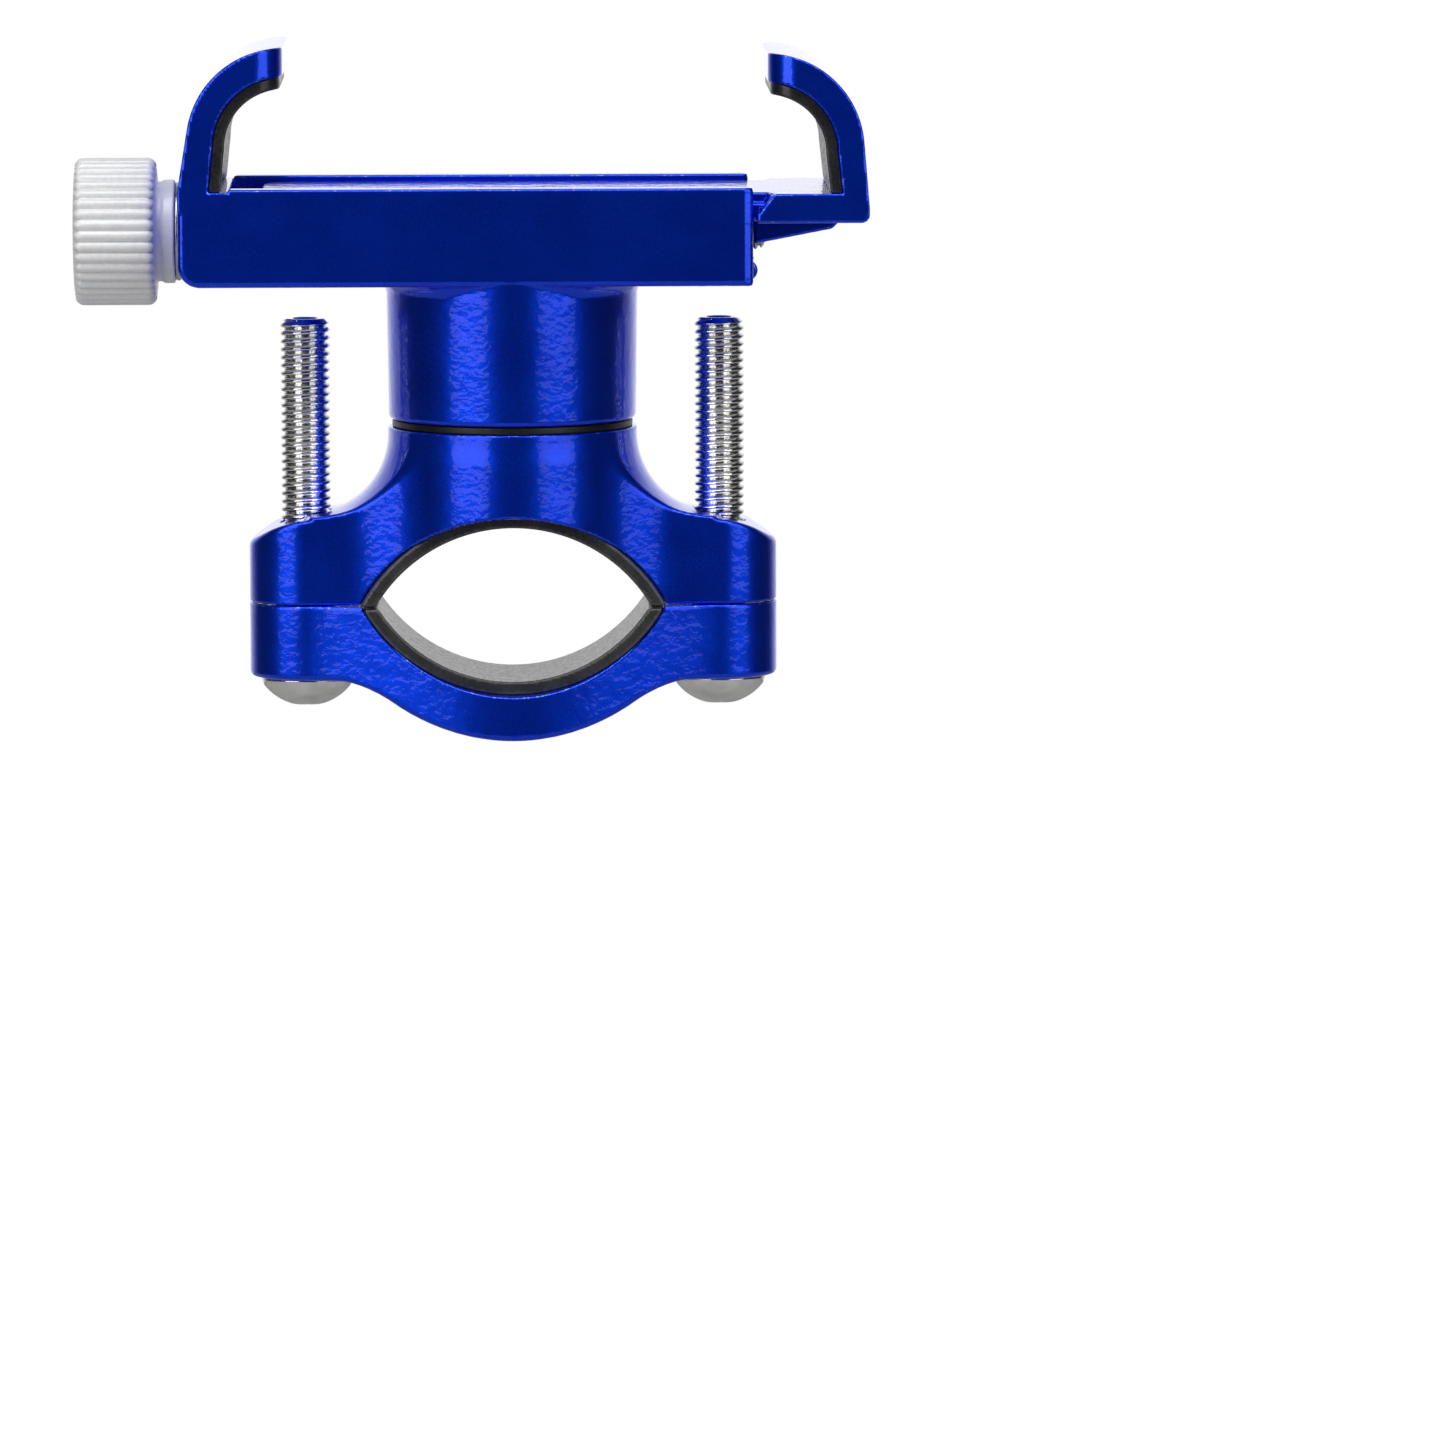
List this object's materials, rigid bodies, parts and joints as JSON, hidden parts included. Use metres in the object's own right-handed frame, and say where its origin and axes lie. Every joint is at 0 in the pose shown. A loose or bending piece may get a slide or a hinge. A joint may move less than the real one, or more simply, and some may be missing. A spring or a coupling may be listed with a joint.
{
  "type": "handlebar phone mount",
  "caption": "Handlebar phone mount: a screw-driven pair of padded hooks grips a phone, on a swivel above a two-piece bolted clamp with rubber liners.",
  "frame": {"origin": "middle of the closed handlebar opening, on the line where the two clamp halves part, half way along its width", "axes": "+Y along the handlebar, +X from the knob towards the sliding jaw, +Z from the clamp up to the phone"},
  "size_m": [0.0788, 0.0252, 0.069],
  "materials": {
    "blue_lacquer": "gloss",
    "pad_rubber": "matt",
    "liner_rubber": "matt",
    "turned_aluminium": "satin",
    "bolt_steel": "polished",
    "screw_steel": "satin",
    "spring_steel": "dark oiled",
    "nut_brass": "satin",
    "disc_plastic": "matt"
  },
  "bodies": {
    "clamp_top": {"clamp_upper": "blue_lacquer", "clamp_liner_upper": "liner_rubber", "swivel_screw": "screw_steel", "friction_disc": "disc_plastic", "swivel_flat_washer": "screw_steel", "swivel_spring_washer": "spring_steel", "swivel_nut": "screw_steel"},
    "head": {"cradle_body": "blue_lacquer", "fixed_jaw_pad": "pad_rubber", "knob_washer": "spring_steel", "clip_washer": "screw_steel"},
    "spindle": {"knob": "turned_aluminium", "lead_screw": "screw_steel", "screw_clip": "spring_steel"},
    "jaw": {"sliding_jaw": "blue_lacquer", "sliding_jaw_pad": "pad_rubber", "drive_nut": "nut_brass"},
    "clamp_bottom": {"clamp_lower": "blue_lacquer", "clamp_liner_lower": "liner_rubber"},
    "bolt_left": {"clamp_bolt_left": "bolt_steel"},
    "bolt_right": {"clamp_bolt_right": "bolt_steel"}
  },
  "joints": [
    {"name": "head_swivel", "type": "hinge", "parent": "clamp_top", "child": "head", "pos_m": [0, 0, 0.025], "axis": [0, 0, 1], "continuous": true},
    {"name": "knob_turn", "type": "hinge", "parent": "head", "child": "spindle", "pos_m": [-0.0329, 0, 0.037], "axis": [-1, 0, 0], "range_deg": [0, 18514.3]},
    {"name": "jaw_slide", "type": "slide", "parent": "head", "child": "jaw", "axis": [1, 0, 0], "range_m": [0, 0.036]},
    {"name": "clamp_open", "type": "slide", "parent": "clamp_top", "child": "clamp_bottom", "axis": [0, 0, -1], "range_m": [0, 0.01645]},
    {"name": "bolt_left_turn", "type": "hinge", "parent": "clamp_bottom", "child": "bolt_left", "pos_m": [-0.02065, 0, -0.0075], "axis": [0, 0, -1], "range_deg": [0, 7402.6]},
    {"name": "bolt_right_turn", "type": "hinge", "parent": "clamp_bottom", "child": "bolt_right", "pos_m": [0.02065, 0, -0.0075], "axis": [0, 0, -1], "range_deg": [0, 7402.6]}
  ],
  "couplings": [
    {"joint": "knob_turn", "follows": "jaw_slide", "rad_per_m": 8976},
    {"joint": "bolt_left_turn", "follows": "clamp_open", "rad_per_m": 7854},
    {"joint": "bolt_right_turn", "follows": "clamp_open", "rad_per_m": 7854}
  ]
}
